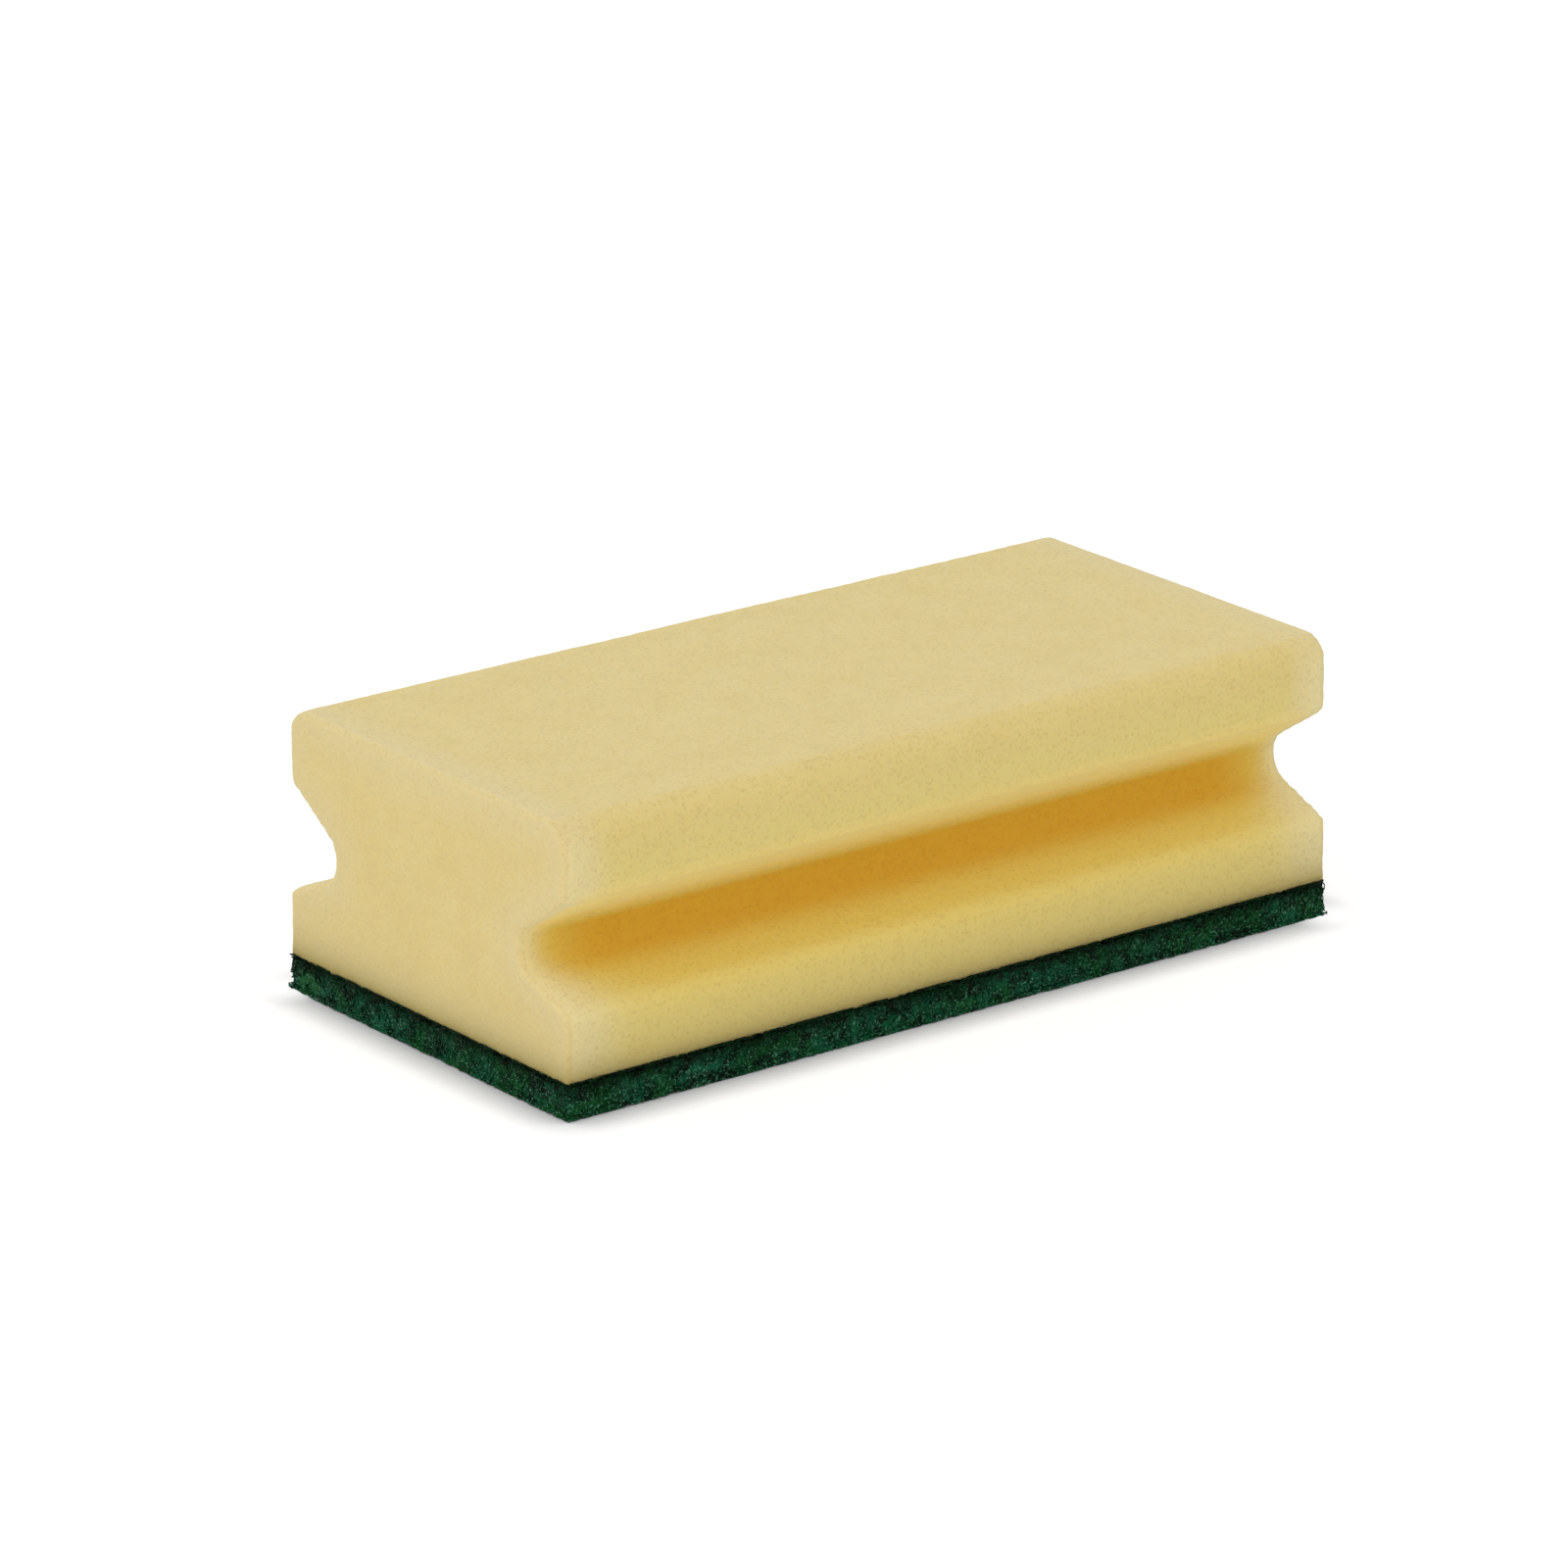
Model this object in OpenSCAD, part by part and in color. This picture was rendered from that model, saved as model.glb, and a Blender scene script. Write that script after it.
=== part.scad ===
// Grip sponge: a block of yellow foam with a finger groove along each long side,
// bonded to a green scouring pad. Millimetres, +Z up, length along X, the origin
// under the middle of the pad's lower face.

/* [Foam body] */
// Length of the foam body, along X
foam_length = 147; // [90:1:200]
// Width of the foam above the grooves, along Y
foam_width = 70; // [50:1:100]
// Height of the foam above the pad
foam_height = 40.1; // [34:0.1:60]
// Radius of the two long top edges
top_edge_radius = 4; // [1:0.5:8]
// How far each long side stands out below its groove
base_flare = 0.8; // [0.2:0.1:2]

/* [Grip groove] */
// Depth of each groove, from the foam's side above it
groove_depth = 11.3; // [6:0.1:18]
// Height of the middle of the groove's floor above the pad
groove_height = 18.1; // [14:0.1:22]
// Height of the groove's floor between its two walls
groove_floor = 5.5; // [3:0.1:8]
// Slope of the groove's upper wall, in degrees from level
upper_wall_angle = 33; // [20:1:40]
// Slope of the groove's lower wall, in degrees from level
lower_wall_angle = 21.5; // [15:1:32]
// Radius between the groove's floor and its walls
groove_floor_radius = 3; // [1:0.1:6]
// Radius of the lip above the groove
upper_lip_radius = 3; // [1:0.1:6]
// Radius of the lip below the groove
lower_lip_radius = 2.5; // [1:0.1:4]

/* [Scouring pad] */
// Thickness of the pad
pad_thickness = 5.5; // [4:0.1:12]
// How far the pad stands out past the foam all round
pad_overhang = 0.5; // [0.1:0.1:2]
// Radius of the pad's four upright corners
pad_corner_radius = 1.5; // [0.5:0.1:6]

/* [Hidden] */
$fn = 96;

foam_colour = "#DBC98B";
pad_colour = "#0C3D2B";

base_width = foam_width + 2 * base_flare;
pad_length = foam_length + 2 * pad_overhang;
pad_width = base_width + 2 * pad_overhang;

// Where the groove's floor and mouth lie, out from the middle and up from the pad
floor_out = foam_width / 2 - groove_depth;
floor_top = groove_height + groove_floor / 2;
floor_bottom = groove_height - groove_floor / 2;
mouth_top = floor_top + groove_depth * tan(upper_wall_angle);
mouth_bottom = floor_bottom - (groove_depth + base_flare) * tan(lower_wall_angle);

// Corners of one side of the foam's section, from its base up to its top, as
// [out from the middle, up from the pad]
base_corner = [base_width / 2, 0];
lower_lip = [base_width / 2, mouth_bottom];
floor_low = [floor_out, floor_bottom];
floor_high = [floor_out, floor_top];
upper_lip = [foam_width / 2, mouth_top];
top_corner = [foam_width / 2, foam_height];
top_middle = [0, foam_height];

function unit(v) = v / norm(v);

// Half of the angle at a corner, between its edges to the points before and after
function half_angle(before, corner, after) =
    acos(unit(before - corner) * unit(after - corner)) / 2;

// A rounded corner as three points: its arc's start, centre and end
function rounded(before, corner, after, radius) =
    let (half = half_angle(before, corner, after),
         to_before = unit(before - corner),
         to_after = unit(after - corner))
    [corner + to_before * radius / tan(half),
     corner + unit(to_before + to_after) * radius / sin(half),
     corner + to_after * radius / tan(half)];

// The floor's radius leaves a little of the floor flat between its two rounds
flat_share = 0.05;
round_share = 1 / tan(half_angle(lower_lip, floor_low, floor_high))
            + 1 / tan(half_angle(floor_low, floor_high, upper_lip));
floor_radius = min(groove_floor_radius, (1 - flat_share) * groove_floor / round_share);

lower_lip_round = rounded(base_corner, lower_lip, floor_low, lower_lip_radius);
floor_low_round = rounded(lower_lip, floor_low, floor_high, floor_radius);
floor_high_round = rounded(floor_low, floor_high, upper_lip, floor_radius);
upper_lip_round = rounded(floor_high, upper_lip, top_corner, upper_lip_radius);
top_edge_round = rounded(upper_lip, top_corner, top_middle, top_edge_radius);

one_side = concat([base_corner], lower_lip_round, floor_low_round,
                  floor_high_round, upper_lip_round, top_edge_round);

function other_side(points) =
    [for (i = [len(points) - 1 : -1 : 0]) [-points[i].x, points[i].y]];

// The disc whose rim is a rounded corner's arc, on both sides of the section
module discs(corner_round, radius) {
    centre = corner_round[1];
    for (side = [-1, 1])
        translate([side * centre.x, centre.y]) circle(r = radius);
}

// The contour that is cut along the whole length of the foam. Its outline runs in
// to the centre of each rounded corner. Discs then fill the outward corners out to
// their arcs, and cut the inward corners of the groove's floor back to theirs.
module foam_section() {
    difference() {
        union() {
            polygon(concat(one_side, other_side(one_side)));
            discs(lower_lip_round, lower_lip_radius);
            discs(upper_lip_round, upper_lip_radius);
            discs(top_edge_round, top_edge_radius);
        }
        discs(floor_low_round, floor_radius);
        discs(floor_high_round, floor_radius);
    }
}

// A rectangle about the origin with all four corners rounded
module rounded_plan(length, width, radius) {
    square([length, width - 2 * radius], center = true);
    square([length - 2 * radius, width], center = true);
    for (side = [-1, 1], end = [-1, 1])
        translate([end * (length / 2 - radius), side * (width / 2 - radius)]) circle(r = radius);
}

// The foam, cut off square at both ends
module foam_body() {
    color(foam_colour)
    translate([0, 0, pad_thickness])
    rotate([90, 0, 90])
    linear_extrude(height = foam_length, center = true) foam_section();
}

module scouring_pad() {
    color(pad_colour)
    linear_extrude(height = pad_thickness) rounded_plan(pad_length, pad_width, pad_corner_radius);
}

foam_body();
scouring_pad();
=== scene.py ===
"""A grip sponge: a block of yellow foam bonded to a dark green scouring pad.

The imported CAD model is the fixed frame. The foam and the pad are soft goods, so each
one is a piece of its own that stands for its CAD solid: the foam with softened edges
and open cells, the pad as a web of coarse fibres. Sizes are metres in the row's frame.
"""

import logging
import math
import random
from dataclasses import dataclass
from enum import Enum

import bpy
import numpy as np
from mathutils import Matrix, Vector
from mathutils.kdtree import KDTree


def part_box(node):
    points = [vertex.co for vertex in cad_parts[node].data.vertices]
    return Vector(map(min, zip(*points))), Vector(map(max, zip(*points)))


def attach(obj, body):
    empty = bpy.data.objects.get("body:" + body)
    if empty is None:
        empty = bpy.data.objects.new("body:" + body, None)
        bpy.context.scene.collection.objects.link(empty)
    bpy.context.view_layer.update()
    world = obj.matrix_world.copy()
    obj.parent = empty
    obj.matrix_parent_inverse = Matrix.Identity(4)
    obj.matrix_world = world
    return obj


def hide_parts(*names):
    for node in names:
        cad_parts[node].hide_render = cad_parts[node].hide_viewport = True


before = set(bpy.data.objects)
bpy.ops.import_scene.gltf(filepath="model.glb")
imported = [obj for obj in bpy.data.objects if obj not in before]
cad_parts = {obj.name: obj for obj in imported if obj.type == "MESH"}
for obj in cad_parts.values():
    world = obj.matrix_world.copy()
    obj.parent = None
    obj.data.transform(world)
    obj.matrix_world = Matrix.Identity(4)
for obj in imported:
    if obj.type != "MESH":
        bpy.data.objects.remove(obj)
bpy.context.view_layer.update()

MM = 0.001
WELD = 0.002 * MM  # a CAD mesh's points that are nearer than this are one point
WHITE = (1.0, 1.0, 1.0, 1.0)
BODY = "root"
LOG = logging.getLogger("grip_sponge")


def linear(colour: str) -> tuple[float, float, float, float]:
    """Turns an sRGB hex colour into the linear numbers that a shader takes.

    Args:
        colour: The colour as "#RRGGBB".

    Returns:
        Red, green, blue and an alpha of 1.
    """
    shares = [int(colour[i : i + 2], 16) / 255 for i in (1, 3, 5)]
    red, green, blue = (
        s / 12.92 if s <= 0.04045 else ((s + 0.055) / 1.055) ** 2.4 for s in shares
    )
    return red, green, blue, 1.0


def add_node(
    tree: bpy.types.NodeTree,
    kind: str,
    settings: dict[str | int, object] | None = None,
    links: dict[str | int, bpy.types.NodeSocket] | None = None,
) -> bpy.types.Node:
    """Adds a node with its settings and its links.

    Args:
        tree: The node tree that it goes into.
        kind: The node's type.
        settings: Its properties by name, and its inputs' values by name or number.
        links: The sockets that feed its inputs, by the input's name or number.

    Returns:
        The new node.
    """
    node = tree.nodes.new(kind)
    for name, value in (settings or {}).items():
        if isinstance(name, str) and hasattr(node, name):
            setattr(node, name, value)
        else:
            node.inputs[name].default_value = value
    for name, source in (links or {}).items():
        tree.links.new(source, node.inputs[name])
    return node


def blank_material(name: str) -> tuple[bpy.types.Material, bpy.types.NodeTree]:
    """Makes a material with an empty node tree.

    Args:
        name: The material's name.

    Returns:
        The material and its node tree.
    """
    material = bpy.data.materials.new(name)
    material.use_nodes = True
    material.node_tree.nodes.clear()
    return material, material.node_tree


def select_only(piece: bpy.types.Object) -> None:
    """Deselects all, then makes one piece the selected and active one.

    Args:
        piece: The piece that the next operators work on.
    """
    bpy.ops.object.select_all(action="DESELECT")
    piece.select_set(True)
    bpy.context.view_layer.objects.active = piece


def shape_with(piece: bpy.types.Object, kind: str, **settings: object) -> None:
    """Adds a modifier to a piece and applies it.

    Args:
        piece: The piece that is shaped.
        kind: The modifier's type.
        **settings: The modifier's properties.
    """
    select_only(piece)
    modifier = piece.modifiers.new(kind.title(), kind)
    for name, value in settings.items():
        setattr(modifier, name, value)
    bpy.ops.object.modifier_apply(modifier=modifier.name)


def copy_solid(node: str, name: str) -> bpy.types.Object:
    """Copies a CAD solid's mesh into a new piece, with its triangles joined up.

    Args:
        node: The CAD node that is copied.
        name: The new piece's name.

    Returns:
        The new piece, a closed mesh whose faces point outwards.
    """
    piece = bpy.data.objects.new(name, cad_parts[node].data.copy())
    piece.data.name = name
    piece.data.materials.clear()
    bpy.context.scene.collection.objects.link(piece)
    select_only(piece)
    bpy.ops.object.mode_set(mode="EDIT")
    bpy.ops.mesh.select_all(action="SELECT")
    bpy.ops.mesh.remove_doubles(threshold=WELD)
    bpy.ops.mesh.normals_make_consistent(inside=False)
    bpy.ops.object.mode_set(mode="OBJECT")
    return piece


def points_of(piece: bpy.types.Object) -> np.ndarray:
    """Reads a piece's points.

    Args:
        piece: The piece, a mesh.

    Returns:
        Its points as rows of x, y and z.
    """
    points = np.empty(len(piece.data.vertices) * 3)
    piece.data.vertices.foreach_get("co", points)
    return points.reshape(-1, 3)


def move_points(piece: bpy.types.Object, points: np.ndarray) -> None:
    """Writes a piece's points from rows of x, y and z."""
    piece.data.vertices.foreach_set("co", points.ravel())
    piece.data.update()


def smooth_step(value: np.ndarray) -> np.ndarray:
    """Eases values between 0 and 1 in and out."""
    held = np.clip(value, 0.0, 1.0)
    return held * held * (3.0 - 2.0 * held)


def way_to(azimuth: float, elevation: float) -> Vector:
    """Finds the direction from the sponge to something that looks at it.

    Args:
        azimuth: Its angle round the sponge from -Y, positive towards +X, in radians.
        elevation: Its angle above the floor, in radians.

    Returns:
        The direction, of length 1.
    """
    return Vector(
        (
            math.sin(azimuth) * math.cos(elevation),
            -math.cos(azimuth) * math.cos(elevation),
            math.sin(elevation),
        )
    )


@dataclass(frozen=True)
class Band:
    """A stretch of some measure over which an effect goes from none to full."""

    start: float
    end: float

    def share(self, value: np.ndarray) -> np.ndarray:
        """Eases values from 0 at the band's start to 1 at its end."""
        return smooth_step((value - self.start) / (self.end - self.start))

    def settings(self) -> dict[str, float]:
        """Gives the band as the input range of a Map Range node."""
        return {"From Min": self.start, "From Max": self.end}


# Finishes


class FoamPaintedLight(Enum):
    """The foam's painted light and shade: where its colour is made paler or darker to
    stand in for how light falls on it. Each value names an attribute.
    """

    LONG_SIDE = "long_side_shade"
    CUT_EDGE = "cut_edge_light"
    TOP_RIM = "top_rim_shade"
    SIDE_END = "side_end_light"
    UNDER_LIP = "under_lip_light"
    GROOVE_WALL = "groove_wall_shade"
    GROOVE_FLOOR = "groove_floor"
    NEAR_PAD = "near_pad_shade"


@dataclass(frozen=True)
class CutFoam:
    """Flexible polyurethane foam, cut with a blade: open cells give a matt, finely
    pitted face, and painted shade darkens the cells' insides. Light soaks into it.
    Painted light makes the cut edges, the long sides by the ends and the lip's
    underside paler; painted shade makes the long sides less blue, the top rim and the
    foam by the pad darker, and the grooves darker and much warmer."""

    name: str = "Cut polyurethane foam"
    face: str = "#E0CC8E"
    clouded: str = "#CDB26A"
    # Painted shade inside the open cells
    cell_shade: str = "#C4A070"
    tints: tuple[tuple[FoamPaintedLight, str], ...] = (
        # Painted shade: the long sides a less blue yellow than the top
        (FoamPaintedLight.LONG_SIDE, "#E2D085"),
        # Painted light: the cut edges paler
        (FoamPaintedLight.CUT_EDGE, "#DECC96"),
        # Painted shade: the top rim darker where it faces 45 degrees up
        (FoamPaintedLight.TOP_RIM, "#D7C792"),
        # Painted light: the long sides paler next to the end faces
        (FoamPaintedLight.SIDE_END, "#E7D9A2"),
        # Painted light: the upper lip's underside paler, as if lit
        (FoamPaintedLight.UNDER_LIP, "#FFE088"),
        # Painted shade: the groove's walls and floor darker and warmer
        (FoamPaintedLight.GROOVE_WALL, "#E0C561"),
        (FoamPaintedLight.GROOVE_FLOOR, "#D9AA33"),
        # Painted shade: the foam darker just above the pad
        (FoamPaintedLight.NEAR_PAD, "#A8985F"),
    )
    cell: float = 0.6 * MM  # the usual size of such foam's cells
    cell_hole: Band = Band(0.1, 0.6)  # by the distance from a cell's middle
    pit_share: float = 0.22
    pit_relief: float = 0.4
    pit_depth: float = 0.24 * MM
    cloud: float = 9 * MM
    cloud_edge: Band = Band(0.35, 0.75)
    cloud_share: float = 0.2
    soak: float = 1.2 * MM
    soak_by_colour: tuple[float, float, float] = (1.0, 0.8, 0.5)  # red goes furthest
    roughness: float = 0.85
    ior: float = 1.45
    gloss: float = 0.2

    def material(self) -> bpy.types.Material:
        """Makes the foam's material.

        Returns:
            The material.
        """
        material, tree = blank_material(self.name)
        place = add_node(tree, "ShaderNodeTexCoord").outputs["Object"]
        cells = add_node(
            tree,
            "ShaderNodeTexVoronoi",
            {"Scale": 1 / self.cell},
            {"Vector": place},
        )
        hole = add_node(
            tree,
            "ShaderNodeMapRange",
            {**self.cell_hole.settings(), "To Min": 1.0, "To Max": 0.0},
            {"Value": cells.outputs["Distance"]},
        )
        openness = add_node(
            tree, "ShaderNodeSeparateColor", links={"Color": cells.outputs["Color"]}
        )
        pit = add_node(
            tree,
            "ShaderNodeMath",
            {"operation": "MULTIPLY"},
            {0: hole.outputs["Result"], 1: openness.outputs["Red"]},
        )
        clouds = add_node(
            tree,
            "ShaderNodeTexNoise",
            {"Scale": 1 / self.cloud, "Detail": 3.0, "Roughness": 0.6},
            {"Vector": place},
        )
        cloud_share = add_node(
            tree,
            "ShaderNodeMapRange",
            {**self.cloud_edge.settings(), "To Max": self.cloud_share},
            {"Value": clouds.outputs["Fac"]},
        )
        tinted = add_node(
            tree,
            "ShaderNodeMix",
            {"data_type": "RGBA", 6: linear(self.face), 7: linear(self.clouded)},
            {0: cloud_share.outputs["Result"]},
        ).outputs[2]
        # Mixes in the painted light and shade tints, one by one
        for mark, tint in self.tints:
            share = add_node(
                tree, "ShaderNodeAttribute", {"attribute_name": mark.value}
            )
            tinted = add_node(
                tree,
                "ShaderNodeMix",
                {"data_type": "RGBA", 7: linear(tint)},
                {0: share.outputs["Fac"], 6: tinted},
            ).outputs[2]
        pit_share = add_node(
            tree,
            "ShaderNodeMath",
            {"operation": "MULTIPLY", 1: self.pit_share},
            {0: pit.outputs["Value"]},
        )
        # Painted shade: the open cells' insides darker
        pitted = add_node(
            tree,
            "ShaderNodeMix",
            {"data_type": "RGBA", "blend_type": "MULTIPLY", 7: linear(self.cell_shade)},
            {0: pit_share.outputs["Value"], 6: tinted},
        )
        bump = add_node(
            tree,
            "ShaderNodeBump",
            {
                "Strength": self.pit_relief,
                "Distance": self.pit_depth,
                "invert": True,
            },
            {"Height": pit.outputs["Value"]},
        )
        shader = add_node(
            tree,
            "ShaderNodeBsdfPrincipled",
            {
                "Roughness": self.roughness,
                "IOR": self.ior,
                "Specular IOR Level": self.gloss,
                "Subsurface Weight": 1.0,
                "Subsurface Radius": self.soak_by_colour,
                "Subsurface Scale": self.soak,
            },
            {"Base Color": pitted.outputs[2], "Normal": bump.outputs["Normal"]},
        )
        add_node(
            tree,
            "ShaderNodeOutputMaterial",
            links={"Surface": shader.outputs["BSDF"]},
        )
        return material


@dataclass(frozen=True)
class BoundFibre:
    """Nylon fibre bound with coloured resin and fine abrasive, sprayed and cured:
    nearly black green in blotches, leaf green to teal in patches where the resin lies
    thin or thick, with painted glints in pale specks over the grit, and painted shade
    making it darkest at its top, under the foam."""

    name: str = "Resin-bonded scouring fibre"
    deep: str = "#03180A"
    leaf: str = "#0B481D"
    teal: str = "#0B4F35"
    # Painted glints: pale specks over the grit
    bright: str = "#4C8468"
    # Painted shade: multiplied in towards the pad's top, under the foam
    bonded: str = "#54785A"
    top_shade_band: Band = Band(2.6 * MM, 5.2 * MM)  # heights over the floor
    patch: float = 6 * MM
    patch_edge: Band = Band(0.42, 0.6)
    tuft: float = 2.4 * MM
    tuft_edge: Band = Band(0.4, 0.6)
    grit: float = 0.35 * MM  # real grit is about half this: coarser so that it shows
    grit_edge: Band = Band(0.54, 0.7)
    grit_relief: float = 0.6
    grit_height: float = 0.08 * MM
    roughness: float = 0.55
    ior: float = 1.5
    gloss: float = 0.06  # grit breaks its gloss up

    def material(self) -> bpy.types.Material:
        """Makes the fibre's material.

        Returns:
            The material.
        """
        material, tree = blank_material(self.name)
        place = add_node(tree, "ShaderNodeTexCoord").outputs["Object"]
        tufts = add_node(
            tree,
            "ShaderNodeTexNoise",
            {"Scale": 1 / self.tuft, "Detail": 3.0, "Roughness": 0.65},
            {"Vector": place},
        )
        tuft_share = add_node(
            tree,
            "ShaderNodeMapRange",
            self.tuft_edge.settings(),
            {"Value": tufts.outputs["Fac"]},
        )
        patches = add_node(
            tree,
            "ShaderNodeTexNoise",
            {"Scale": 1 / self.patch, "Detail": 1.0},
            {"Vector": place},
        )
        patch_share = add_node(
            tree,
            "ShaderNodeMapRange",
            self.patch_edge.settings(),
            {"Value": patches.outputs["Fac"]},
        )
        resin = add_node(
            tree,
            "ShaderNodeMix",
            {"data_type": "RGBA", 6: linear(self.leaf), 7: linear(self.teal)},
            {0: patch_share.outputs["Result"]},
        )
        height = add_node(tree, "ShaderNodeSeparateXYZ", links={"Vector": place})
        top_shade_share = add_node(
            tree,
            "ShaderNodeMapRange",
            self.top_shade_band.settings(),
            {"Value": height.outputs["Z"]},
        )
        ground = add_node(
            tree,
            "ShaderNodeMix",
            {"data_type": "RGBA", 6: linear(self.deep)},
            {0: tuft_share.outputs["Result"], 7: resin.outputs[2]},
        )
        grit = add_node(
            tree,
            "ShaderNodeTexNoise",
            {"Scale": 1 / self.grit, "Detail": 2.0},
            {"Vector": place},
        )
        grit_share = add_node(
            tree,
            "ShaderNodeMapRange",
            self.grit_edge.settings(),
            {"Value": grit.outputs["Fac"]},
        )
        # Painted glints over the grit
        glinting = add_node(
            tree,
            "ShaderNodeMix",
            {"data_type": "RGBA", 7: linear(self.bright)},
            {0: grit_share.outputs["Result"], 6: ground.outputs[2]},
        )
        # Painted shade darkens the pad towards its top
        coloured = add_node(
            tree,
            "ShaderNodeMix",
            {"data_type": "RGBA", "blend_type": "MULTIPLY", 7: linear(self.bonded)},
            {0: top_shade_share.outputs["Result"], 6: glinting.outputs[2]},
        )
        bump = add_node(
            tree,
            "ShaderNodeBump",
            {"Strength": self.grit_relief, "Distance": self.grit_height},
            {"Height": grit.outputs["Fac"]},
        )
        shader = add_node(
            tree,
            "ShaderNodeBsdfPrincipled",
            {
                "Roughness": self.roughness,
                "IOR": self.ior,
                "Specular IOR Level": self.gloss,
            },
            {"Base Color": coloured.outputs[2], "Normal": bump.outputs["Normal"]},
        )
        add_node(
            tree,
            "ShaderNodeOutputMaterial",
            links={"Surface": shader.outputs["BSDF"]},
        )
        return material


@dataclass(frozen=True)
class StudioWhite:
    """Matt white paint: it takes the object's shadow, with a painted contact shadow
    added near the object, and otherwise fades to white.
    """

    name: str = "Matt white paint"
    paint: str = "#EDEDED"
    glow_share: float = 0.55  # of what the camera sees, the rest is the lit paint
    glow_level: float = 1.32
    contact_reach: float = 7.8 * MM
    contact_power: float = 3.0
    # Corners round which the painted contact shadow fades out
    corners_without_painted_shadow: tuple[tuple[float, float, float], ...] = (
        (-74 * MM, 36.3 * MM, 0.0),
        (74 * MM, -36.3 * MM, 0.0),
    )
    painted_shadow_corner_band: Band = Band(1.5 * MM, 8 * MM)

    def material(self) -> bpy.types.Material:
        """Makes the floor's material, which shows white to the camera.

        Close to the sponge an ambient occlusion node paints a contact shadow into the
        white, which fades out round two fixed corners at its left and right.

        Returns:
            The material.
        """
        material, tree = blank_material(self.name)
        paint = add_node(
            tree, "ShaderNodeBsdfDiffuse", {"Color": linear(self.paint)}
        )
        seen = add_node(
            tree,
            "ShaderNodeMath",
            {"operation": "MULTIPLY", 1: self.glow_share},
            {0: seen_directly(tree)},
        )
        clear = add_node(
            tree,
            "ShaderNodeAmbientOcclusion",
            {"samples": 2, "Distance": self.contact_reach},
        )
        # Painted contact shadow: the ambient occlusion darkens the camera-seen white
        # glow near the sponge
        contact = add_node(
            tree,
            "ShaderNodeMath",
            {"operation": "POWER", 1: self.contact_power},
            {0: clear.outputs["AO"]},
        )
        place = add_node(tree, "ShaderNodeTexCoord").outputs["Object"]
        from_left, from_right = (
            add_node(
                tree,
                "ShaderNodeVectorMath",
                {"operation": "DISTANCE", 1: corner},
                {0: place},
            ).outputs["Value"]
            for corner in self.corners_without_painted_shadow
        )
        from_corner = add_node(
            tree,
            "ShaderNodeMath",
            {"operation": "MINIMUM"},
            {0: from_left, 1: from_right},
        )
        shaded = add_node(
            tree,
            "ShaderNodeMapRange",
            {"interpolation_type": "SMOOTHSTEP", **self.painted_shadow_corner_band.settings()},
            {"Value": from_corner.outputs["Value"]},
        )
        painted_contact_shadow = add_node(
            tree,
            "ShaderNodeMix",
            {"data_type": "FLOAT", 2: 1.0},
            {0: shaded.outputs["Result"], 3: contact.outputs["Value"]},
        )
        level = add_node(
            tree,
            "ShaderNodeMath",
            {"operation": "MULTIPLY", 1: self.glow_level},
            {0: painted_contact_shadow.outputs[0]},
        )
        glow = add_node(
            tree,
            "ShaderNodeEmission",
            {"Color": WHITE},
            {"Strength": level.outputs["Value"]},
        )
        both = add_node(
            tree,
            "ShaderNodeMixShader",
            links={
                0: seen.outputs["Value"],
                1: paint.outputs["BSDF"],
                2: glow.outputs["Emission"],
            },
        )
        add_node(
            tree,
            "ShaderNodeOutputMaterial",
            links={"Surface": both.outputs["Shader"]},
        )
        return material


def seen_directly(tree: bpy.types.NodeTree) -> bpy.types.NodeSocket:
    """Adds the nodes that tell a ray from the camera, a mirror or glass from the rest.

    Args:
        tree: The node tree that they go into.

    Returns:
        A socket that is 1 for such a ray and 0 for one that carries light.
    """
    rays = add_node(tree, "ShaderNodeLightPath")
    mirrored = add_node(
        tree,
        "ShaderNodeMath",
        {"operation": "MAXIMUM"},
        {0: rays.outputs["Is Camera Ray"], 1: rays.outputs["Is Glossy Ray"]},
    )
    through = add_node(
        tree,
        "ShaderNodeMath",
        {"operation": "MAXIMUM"},
        {0: mirrored.outputs["Value"], 1: rays.outputs["Is Transmission Ray"]},
    )
    return through.outputs["Value"]


# The sponge


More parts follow.
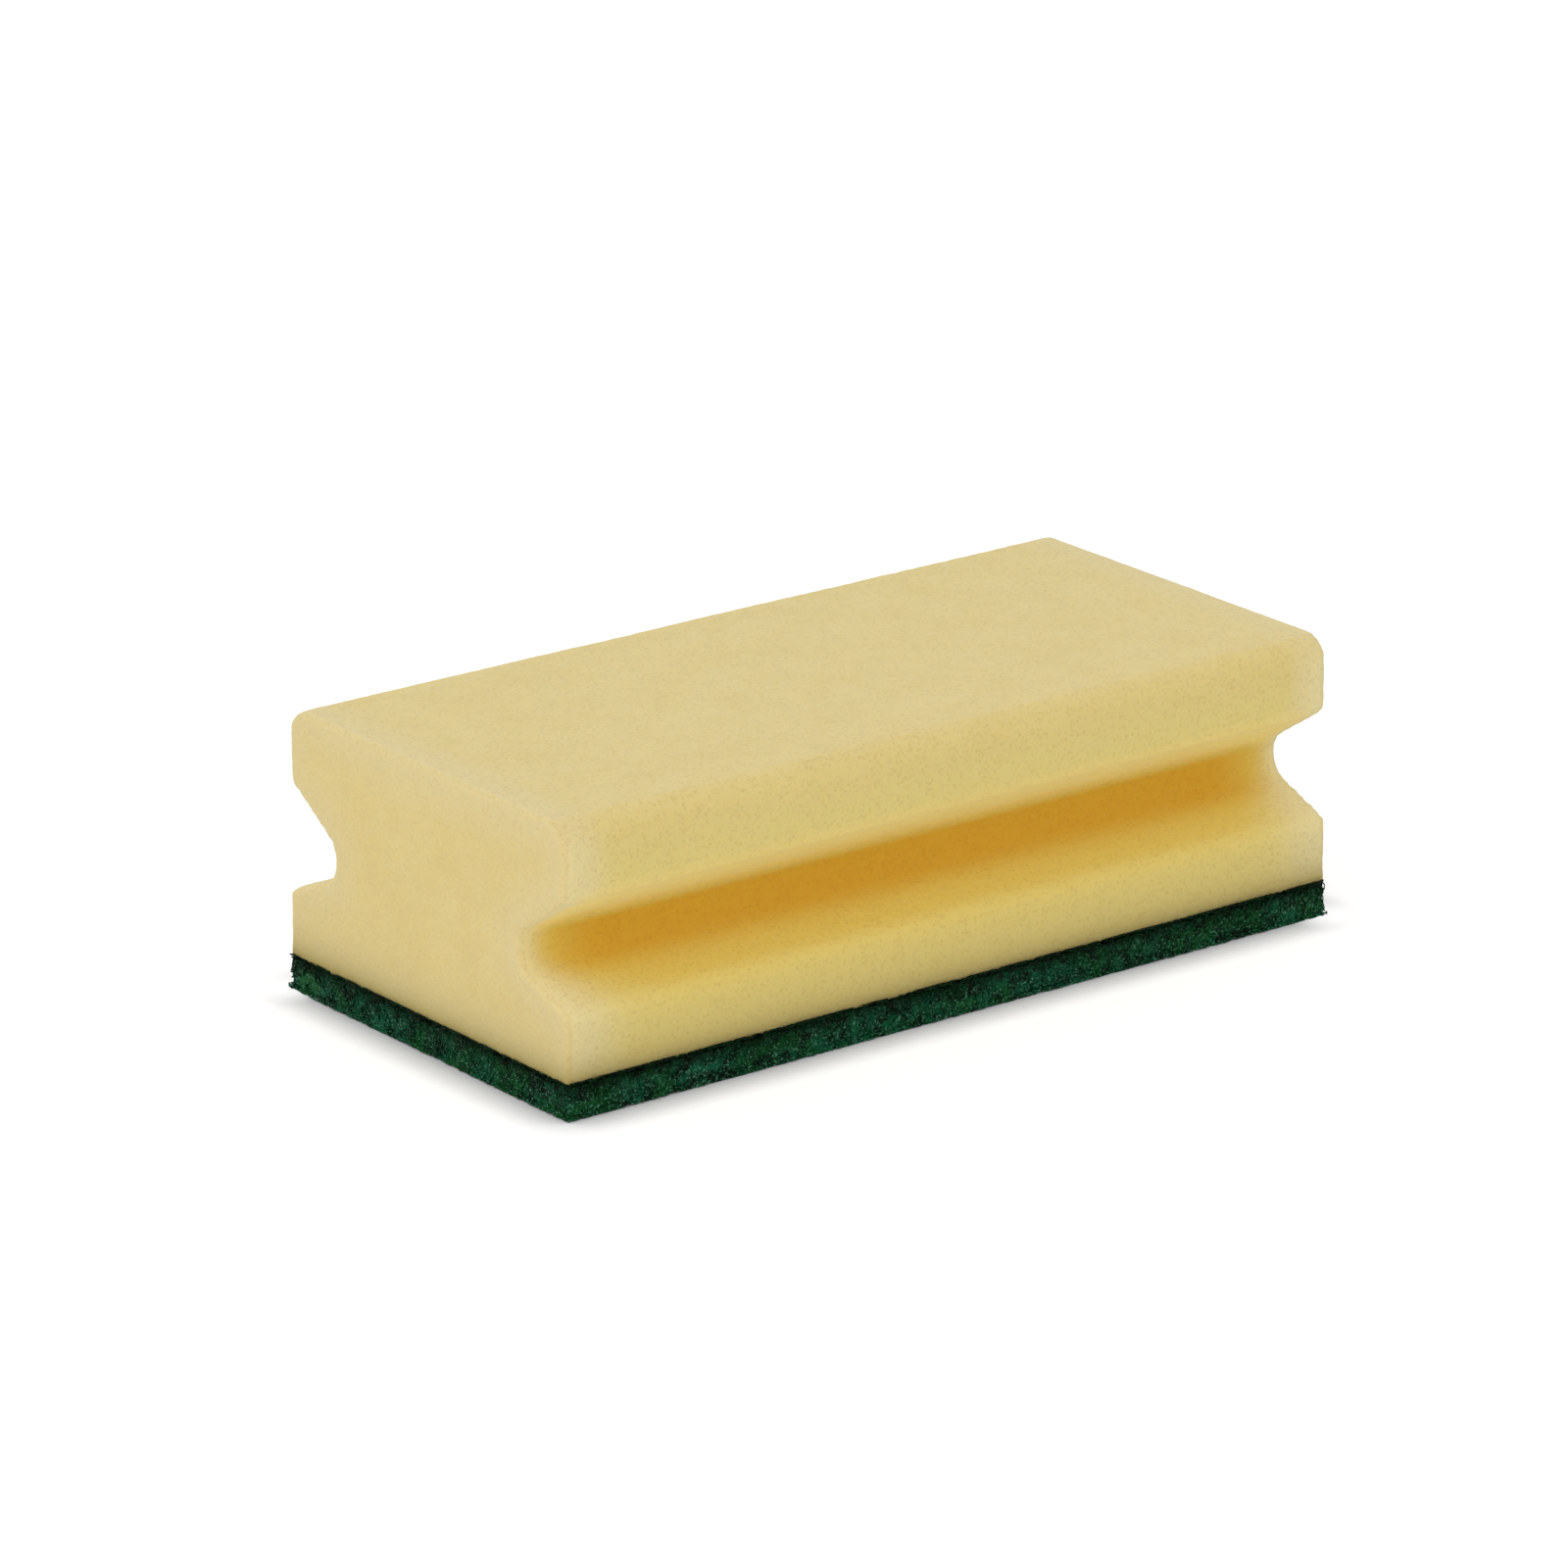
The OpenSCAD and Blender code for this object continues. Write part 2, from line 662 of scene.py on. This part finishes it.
@dataclass
class GripFoam:
    """The foam block with a finger groove along both long sides."""

    node: str = "foam_body"
    name: str = "grip_foam"
    slot: str = "foam"
    voxel: float = 0.72 * MM
    smoothing_rounds: int = 8
    bond_band: float = 3 * MM  # the foam is held flat where the pad is glued on
    bond_give: float = 0.1  # what the glued edge still takes of the smoothing
    fullness: float = 0.3 * MM  # foam swells a little once the blade has passed
    unevenness: float = 0.2 * MM
    unevenness_length: float = 14 * MM
    pit_depth: float = 0.12 * MM
    pit_size: float = 1.7 * MM  # the odd large cell, coarser than real so that it shows

    # The groove's depth and heights and the top edge, about as the CAD model has them
    groove_reach: float = 12.1 * MM
    lower_lip: float = 16.1 * MM
    floor_middle: float = 23.6 * MM
    floor_top: float = 24.8 * MM
    upper_lip: float = 34.2 * MM
    top_round: float = 4 * MM

    # How the painted light and shade ease in from the end faces
    pale_end: Band = Band(0.5 * MM, 9 * MM)
    pale_corner: Band = Band(0.3 * MM, 1.1 * MM)
    low_widening: float = 0.6  # the paler end is this much wider near the pad
    low_widening_drop: float = 24 * MM
    wall_fade: tuple[float, float] = (26 * MM, 6 * MM)  # at the side, at the floor
    floor_fade: float = 15 * MM
    lip_fade: float = 5 * MM
    end_skin: float = 0.8 * MM  # points this near to an end belong to its face
    end_rim: tuple[float, float] = (1.2 * MM, 2.4 * MM)  # points that give its outline

    # How they ease in round the section, by height or by the share of groove_reach
    side_power: float = 0.6
    facing_down: Band = Band(0.0, 0.8)
    lip_depth: Band = Band(0.1, 0.4)
    floor_round: Band = Band(0.0, 1.6 * MM)
    upper_wall: Band = Band(0.6 * MM, 3.6 * MM)
    lower_wall: Band = Band(0.0, 0.3)
    lower_floor: Band = Band(0.35, 1.0)
    lip_glow: float = 4 * MM  # how far down the warm tint goes on below the lower lip
    pad_shade: float = 0.7 * MM
    pad_shade_fade: float = 2.8 * MM
    finish: CutFoam = CutFoam()

    def build(self) -> bpy.types.Object:
        """Builds the foam, dresses it and puts it in the CAD solid's place.

        Returns:
            The finished piece.
        """
        foam = copy_solid(self.node, self.name)
        shape_with(foam, "REMESH", mode="VOXEL", voxel_size=self.voxel)
        self.soften(foam)
        self.pit(foam)
        self.mark_painted_light(foam)
        foam.data.materials.append(self.finish.material())
        select_only(foam)
        bpy.ops.object.shade_smooth()
        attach(foam, BODY)
        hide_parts(self.node)
        return foam

    def soften(self, foam: bpy.types.Object) -> None:
        """Rounds the cut edges a little, less so along the glued face.

        Args:
            foam: The remeshed foam.
        """
        low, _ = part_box(self.node)
        height = points_of(foam)[:, 2] - low.z
        give = self.bond_give
        free = give + (1 - give) * smooth_step(height / self.bond_band)
        group = foam.vertex_groups.new(name="free_edges")
        for index, share in enumerate(free):
            group.add([index], float(share), "REPLACE")
        shape_with(
            foam,
            "SMOOTH",
            factor=0.5,
            iterations=self.smoothing_rounds,
            vertex_group=group.name,
        )
        foam.vertex_groups.clear()

    def pit(self, foam: bpy.types.Object) -> None:
        """Lets the foam swell, then presses unevenness and large open cells into it.

        Args:
            foam: The softened foam.
        """
        shape_with(foam, "DISPLACE", mid_level=0.0, strength=self.fullness)
        waves = bpy.data.textures.new("foam waves", "CLOUDS")
        waves.noise_scale = self.unevenness_length
        cells = bpy.data.textures.new("foam cells", "VORONOI")
        cells.noise_scale = self.pit_size
        for texture, depth in ((waves, self.unevenness), (cells, self.pit_depth)):
            shape_with(
                foam,
                "DISPLACE",
                texture=texture,
                texture_coords="LOCAL",
                mid_level=1.0,
                strength=depth,
            )
            bpy.data.textures.remove(texture)
        low, high = (np.array(corner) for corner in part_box(self.node))
        proud = np.array([1, 1, 0]) * self.fullness
        move_points(foam, np.clip(points_of(foam), low - proud, high + proud))

    def mark_painted_light(self, foam: bpy.types.Object) -> None:
        """Writes how much of each painted light and shade tint every point takes.

        Args:
            foam: The finished mesh.
        """
        low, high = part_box(self.node)
        x, y, z = points_of(foam).T
        normals = np.empty(len(x) * 3)
        foam.data.vertex_normals.foreach_get("vector", normals)
        lengthwise, _, upwards = normals.reshape(-1, 3).T
        from_end = high.x - np.abs(x)
        from_edge = from_end + self.within_end(x, y, z)
        inward = np.clip((high.y - np.abs(y)) / self.groove_reach, 0, 1)
        down = (high.z - z) / (high.z - self.upper_lip)
        on_side = np.clip(down, 0, 1) ** self.side_power
        on_rim = 4 * (lengthwise * upwards) ** 2  # 1 where the rim faces 45 degrees
        # Each tint's share: painted light where the foam is made paler, painted shade
        # where it is made darker
        marked = {
            FoamPaintedLight.LONG_SIDE: self.pale_end.share(from_end) * on_side,
            FoamPaintedLight.CUT_EDGE: 1 - self.pale_end.share(from_edge),
            FoamPaintedLight.TOP_RIM: on_rim * (z > high.z - self.top_round),
            FoamPaintedLight.SIDE_END: self.side_end_light(from_end, high.z - z),
            **self.groove_painted_light(from_end, inward, z, upwards),
            FoamPaintedLight.NEAR_PAD: np.exp(
                (self.pad_shade - (z - low.z)) / self.pad_shade_fade
            ),
        }
        for mark, share in marked.items():
            attribute = foam.data.attributes.new(mark.value, "FLOAT", "POINT")
            held = np.clip(share, 0.0, 1.0).astype(np.float32)
            attribute.data.foreach_set("value", held)

    def side_end_light(self, from_end: np.ndarray, down: np.ndarray) -> np.ndarray:
        """Works out the painted light that makes the long sides paler next to the end
        faces.

        Args:
            from_end: How far each point lies from the nearer end face.
            down: How far it lies below the top.

        Returns:
            Each point's share of the tint.
        """
        wider = 1 + self.low_widening * smooth_step(down / self.low_widening_drop)
        reach = (self.pale_end.end - self.pale_end.start) * wider
        near_end = 1 - smooth_step((from_end - self.pale_end.start) / reach)
        below_top = smooth_step(down / self.top_round)
        return near_end * self.pale_corner.share(from_end) * below_top

    def groove_painted_light(
        self,
        from_end: np.ndarray,
        inward: np.ndarray,
        z: np.ndarray,
        upwards: np.ndarray,
    ) -> dict[FoamPaintedLight, np.ndarray]:
        """Works out the groove's painted shade, darker and warmer inside it, and the
        painted light under its upper lip.

        Args:
            from_end: How far each point lies from the nearer end face.
            inward: How far it lies in from the side, as a share of groove_reach.
            z: Its height.
            upwards: The upward part of its normal.

        Returns:
            Each point's share of the painted light under the lip and of the painted
            shade on the walls and on the floor.
        """
        upper = z > self.floor_middle
        over_floor = z - self.floor_top
        off_floor = self.floor_round.share(over_floor)
        at_side, at_floor = self.wall_fade
        wall_end = smooth_step(from_end / (at_side + (at_floor - at_side) * inward))
        glow = np.exp(np.minimum(z - self.lower_lip, 0) / self.lip_glow)
        # The lower wall and the upper lip's underside take half of their painted shade
        # at the side, and all of it further in
        wall = np.where(
            upper,
            1 - self.upper_wall.share(over_floor),
            0.5 * (glow + self.lower_wall.share(inward)),
        )
        floor = np.where(upper, 1 - off_floor, self.lower_floor.share(inward))
        within_lip = 0.5 * (1 + self.lip_depth.share(inward))
        under_lip_light = self.facing_down.share(-upwards) * within_lip * off_floor
        return {
            FoamPaintedLight.UNDER_LIP: smooth_step(from_end / self.lip_fade) * under_lip_light,
            FoamPaintedLight.GROOVE_WALL: wall_end * wall * (z < self.upper_lip),
            FoamPaintedLight.GROOVE_FLOOR: smooth_step(from_end / self.floor_fade) * floor,
        }

    def within_end(self, x: np.ndarray, y: np.ndarray, z: np.ndarray) -> np.ndarray:
        """Measures how far points on the end faces lie from those faces' rims.

        Args:
            x: The points' places along the length.
            y: Their places across the width.
            z: Their heights.

        Returns:
            The distances, and 0 for points on the other faces.
        """
        _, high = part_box(self.node)
        from_end = high.x - np.abs(x)
        near, far = self.end_rim
        rim = np.flatnonzero((from_end > near) & (from_end < far) & (x < 0))
        tree = KDTree(len(rim))
        for order, index in enumerate(rim):
            tree.insert((0.0, y[index], z[index]), order)
        tree.balance()
        distances = np.zeros(len(x))
        for index in np.flatnonzero(from_end < self.end_skin):
            distances[index] = tree.find((0.0, y[index], z[index]))[2]
        return distances


class PadFace(Enum):
    """The faces of the scouring pad that show."""

    WALL = "wall"
    UNDER = "under"


@dataclass(frozen=True)
class FibreLayer:
    """A layer of fibres over a face of the pad, and the seed of their shapes."""

    name: str
    face: PadFace
    seed: int
    count: int = 2400


@dataclass(frozen=True)
class PadOutline:
    """The pad's outline: points, the way out at each, and the length up to each."""

    points: np.ndarray
    outward: np.ndarray
    lengths: np.ndarray

    def at(self, along: float, sunk: float) -> np.ndarray:
        """Finds a place on the outline.

        Args:
            along: The length along the outline.
            sunk: How far inside the outline it lies.

        Returns:
            Its x and y.
        """
        reached = along % self.lengths[-1]
        point, out = (
            np.array([np.interp(reached, self.lengths, rows[:, i]) for i in (0, 1)])
            for rows in (self.points, self.outward)
        )
        return point - out * sunk


@dataclass
class ScouringPad:
    """The scouring pad: a lumpy core under a web of curled fibres."""

    node: str = "scouring_pad"
    name: str = "scouring_web"
    slot: str = "scouring_fibre"
    voxel: float = 0.9 * MM
    smoothing_rounds: int = 2
    corner_radius: float = 1.5 * MM
    corner_steps: int = 6
    core_inset: float = 0.1 * MM
    hollow_depth: float = 0.6 * MM
    hollow_size: float = 2.2 * MM
    hollow_detail: int = 3
    layers: tuple[FibreLayer, ...] = (
        FibreLayer("wall_fibres", PadFace.WALL, seed=3),
        FibreLayer("under_fibres_a", PadFace.UNDER, seed=5),
        FibreLayer("under_fibres_b", PadFace.UNDER, seed=8),
    )

    # One fibre: its thickness is the coarse end of the real ones, so that it shows
    fibre_radius: float = 0.12 * MM
    fibre_points: int = 9
    wall_step: float = 0.95 * MM
    under_step: float = 1.5 * MM
    fibre_lump: tuple[float, float] = (0.75, 1.35)
    point_lump: tuple[float, float] = (0.85, 1.2)
    bend: float = 0.35
    wander: float = 0.3
    depth: tuple[float, float] = (0.15 * MM, 0.85 * MM)
    weave_depth: float = 0.28 * MM
    weave_turn: float = 1.3
    rim_margin: float = 0.2 * MM
    foot_margin: float = 0.3 * MM
    joint_overlap: float = 0.2 * MM
    least_cover: float = 0.15 * MM
    finish: BoundFibre = BoundFibre()

    def build(self) -> list[bpy.types.Object]:
        """Builds the pad's core and its fibres.

        Returns:
            The finished pieces.
        """
        material = self.finish.material()
        rim = self.outline()
        pieces = [self.build_core()]
        pieces += [self.build_fibres(layer, rim) for layer in self.layers]
        for piece in pieces:
            piece.data.materials.clear()
            piece.data.materials.append(material)
            select_only(piece)
            bpy.ops.object.shade_smooth()
            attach(piece, BODY)
        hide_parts(self.node)
        return pieces

    def build_core(self) -> bpy.types.Object:
        """Builds the dense inside of the web, with hollows between its tufts.

        Returns:
            The core.
        """
        core = copy_solid(self.node, self.name)
        shape_with(core, "REMESH", mode="VOXEL", voxel_size=self.voxel)
        shape_with(core, "SMOOTH", factor=0.5, iterations=self.smoothing_rounds)
        hollows = bpy.data.textures.new("pad hollows", "CLOUDS")
        hollows.noise_scale = self.hollow_size
        hollows.noise_depth = self.hollow_detail
        shape_with(
            core,
            "DISPLACE",
            texture=hollows,
            texture_coords="LOCAL",
            mid_level=1.0,
            strength=self.hollow_depth,
        )
        bpy.data.textures.remove(hollows)
        low, high = (np.array(corner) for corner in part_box(self.node))
        inset = np.array([self.core_inset, self.core_inset, 0.0])
        middle = (low + high) / 2
        shrink = 1 - inset / (high - middle)
        move_points(core, middle + (points_of(core) - middle) * shrink)
        return core

    def outline(self) -> PadOutline:
        """Lays the pad's outline out as points along its rounded rectangle.

        Returns:
            The outline, closed.
        """
        _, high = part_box(self.node)
        corner = np.array([high.x, high.y]) - self.corner_radius
        points, outward = [], []
        for quarter, signs in enumerate(((1, 1), (-1, 1), (-1, -1), (1, -1))):
            for step in range(self.corner_steps + 1):
                angle = (quarter + step / self.corner_steps) * math.pi / 2
                direction = np.array([math.cos(angle), math.sin(angle)])
                points.append(corner * signs + direction * self.corner_radius)
                outward.append(direction)
        points.append(points[0])
        outward.append(outward[0])
        steps = np.linalg.norm(np.diff(points, axis=0), axis=1)
        lengths = np.concatenate([[0], np.cumsum(steps)])
        return PadOutline(np.array(points), np.array(outward), lengths)

    def build_fibres(self, layer: FibreLayer, rim: PadOutline) -> bpy.types.Object:
        """Builds a layer of curled fibres over a face of the pad.

        Args:
            layer: The layer that is built.
            rim: The pad's outline.

        Returns:
            The layer as one mesh of thin tubes.
        """
        draw = random.Random(layer.seed)
        curve = bpy.data.curves.new(layer.name, "CURVE")
        curve.dimensions = "3D"
        curve.bevel_depth = self.fibre_radius
        curve.bevel_resolution = 0
        curve.use_fill_caps = True
        for _ in range(layer.count):
            points = self.curl(draw, layer.face, rim)
            spline = curve.splines.new("POLY")
            spline.points.add(len(points) - 1)
            lump = draw.uniform(*self.fibre_lump)
            for target, point in zip(spline.points, points):
                target.co = (*point, 1.0)
                target.radius = lump * draw.uniform(*self.point_lump)
        tubes = bpy.data.objects.new(layer.name, curve)
        bpy.context.scene.collection.objects.link(tubes)
        select_only(tubes)
        bpy.ops.object.convert(target="MESH")
        return tubes

    def curl(
        self, draw: random.Random, face: PadFace, rim: PadOutline
    ) -> list[tuple[float, float, float]]:
        """Lets one fibre wander over a face, weaving in and out of it.

        Args:
            draw: The source of its shape.
            face: The face that it lies on.
            rim: The pad's outline.

        Returns:
            The points that the fibre passes through.
        """
        low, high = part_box(self.node)
        on_wall = face is PadFace.WALL
        margin = self.rim_margin
        if on_wall:
            step = self.wall_step
            along = draw.uniform(0, rim.lengths[-1])
            across = draw.uniform(low.z, high.z)
        else:
            step = self.under_step
            along = draw.uniform(low.x + margin, high.x - margin)
            across = draw.uniform(low.y + margin, high.y - margin)
        heading = draw.uniform(0, 2 * math.pi)
        bend = draw.uniform(-self.bend, self.bend)
        depth = draw.uniform(*self.depth)
        weave = draw.uniform(0, 2 * math.pi)
        path = []
        for index in range(self.fibre_points):
            sunk = depth + self.weave_depth * math.sin(weave + self.weave_turn * index)
            if on_wall:
                across = max(across, low.z + self.foot_margin)
                across = min(across, high.z + self.joint_overlap)
                path.append((*rim.at(along, sunk), across))
            else:
                along = min(max(along, low.x + margin), high.x - margin)
                across = min(max(across, low.y + margin), high.y - margin)
                path.append((along, across, max(sunk, self.least_cover)))
            heading += bend + draw.gauss(0, self.wander)
            along += step * math.cos(heading)
            across += step * math.sin(heading)
        return path


# The studio


@dataclass(frozen=True)
class PhotoCamera:
    """The camera at the photograph's angle, from a fit to the sponge's outlines."""

    azimuth: float = math.radians(-37.712)
    elevation: float = math.radians(18.854)
    distance: float = 1271.85 * MM
    aside: float = -4.70 * MM
    above: float = 25.87 * MM
    focal_pixels: float = 8369.4
    frame_pixels: int = 1600
    sensor_width: float = 36.0
    clip: tuple[float, float] = (0.05, 20.0)

    def place(self) -> bpy.types.Object:
        """Makes the camera and gives it to the scene.

        Returns:
            The camera.
        """
        back = way_to(self.azimuth, self.elevation)
        right = Vector((math.cos(self.azimuth), math.sin(self.azimuth), 0))
        up = back.cross(right)
        data = bpy.data.cameras.new("photo_camera")
        data.sensor_fit = "HORIZONTAL"
        data.sensor_width = self.sensor_width
        data.lens = self.focal_pixels / self.frame_pixels * self.sensor_width
        data.clip_start, data.clip_end = self.clip
        camera = bpy.data.objects.new("photo_camera", data)
        turn = Matrix((right, up, back)).transposed().to_4x4()
        place = back * self.distance + right * self.aside + up * self.above
        camera.matrix_world = Matrix.Translation(place) @ turn
        bpy.context.scene.collection.objects.link(camera)
        bpy.context.scene.camera = camera
        return camera


@dataclass(frozen=True)
class SoftLamp:
    """A square softbox. Its level is how bright it alone makes a white face at it."""

    name: str
    azimuth: float
    elevation: float
    level: float
    distance: float = 1.6
    side: float = 1.2

    def place(self) -> bpy.types.Object:
        """Makes the lamp and aims it at the sponge.

        Returns:
            The lamp.
        """
        back = way_to(self.azimuth, self.elevation)
        data = bpy.data.lights.new(self.name, "AREA")
        data.shape = "SQUARE"
        data.size = self.side
        data.energy = self.level * (math.pi * self.distance) ** 2
        lamp = bpy.data.objects.new(self.name, data)
        lamp.location = back * self.distance
        lamp.rotation_euler = back.to_track_quat("Z", "Y").to_euler()
        bpy.context.scene.collection.objects.link(lamp)
        return lamp


@dataclass
class Studio:
    """A white floor under an even white sky, with two softboxes."""

    floor_side: float = 6.0
    sky_level: float = 0.80
    paint: StudioWhite = StudioWhite()
    lamps: tuple[SoftLamp, ...] = (
        SoftLamp(
            "camera_side_softbox",
            azimuth=math.radians(-54),
            elevation=math.radians(18),
            level=0.26,
        ),
        SoftLamp(
            "top_softbox",
            azimuth=math.radians(-120),
            elevation=math.radians(70),
            level=0.06,
        ),
    )

    def build(self) -> None:
        """Builds the floor, the sky and the lamps."""
        bpy.ops.object.select_all(action="DESELECT")
        bpy.ops.mesh.primitive_plane_add(size=self.floor_side, location=(0, 0, 0))
        floor = bpy.context.object
        floor.name = "studio_floor"
        floor.data.materials.append(self.paint.material())
        self.light_sky()
        for lamp in self.lamps:
            lamp.place()
        bpy.context.scene.view_settings.view_transform = "Standard"

    def light_sky(self) -> None:
        """Makes the world: an even light, and plain white to the camera."""
        world = bpy.data.worlds.new("studio_sky")
        world.use_nodes = True
        tree = world.node_tree
        tree.nodes.clear()
        light = add_node(
            tree,
            "ShaderNodeBackground",
            {"Color": WHITE, "Strength": self.sky_level},
        )
        white = add_node(
            tree,
            "ShaderNodeBackground",
            {"Color": WHITE, "Strength": 1.0},
        )
        chosen = add_node(
            tree,
            "ShaderNodeMixShader",
            links={
                0: seen_directly(tree),
                1: light.outputs["Background"],
                2: white.outputs["Background"],
            },
        )
        add_node(
            tree,
            "ShaderNodeOutputWorld",
            links={"Surface": chosen.outputs["Shader"]},
        )
        bpy.context.scene.world = world


def main() -> None:
    """Builds the studio and the sponge, and reports each piece."""
    logging.basicConfig(level=logging.INFO, format="%(name)s: %(message)s")
    PhotoCamera().place()
    Studio().build()
    for piece in [GripFoam().build(), *ScouringPad().build()]:
        piece.data.calc_loop_triangles()
        LOG.info("%s: %d triangles", piece.name, len(piece.data.loop_triangles))


if __name__ == "__main__":
    main()
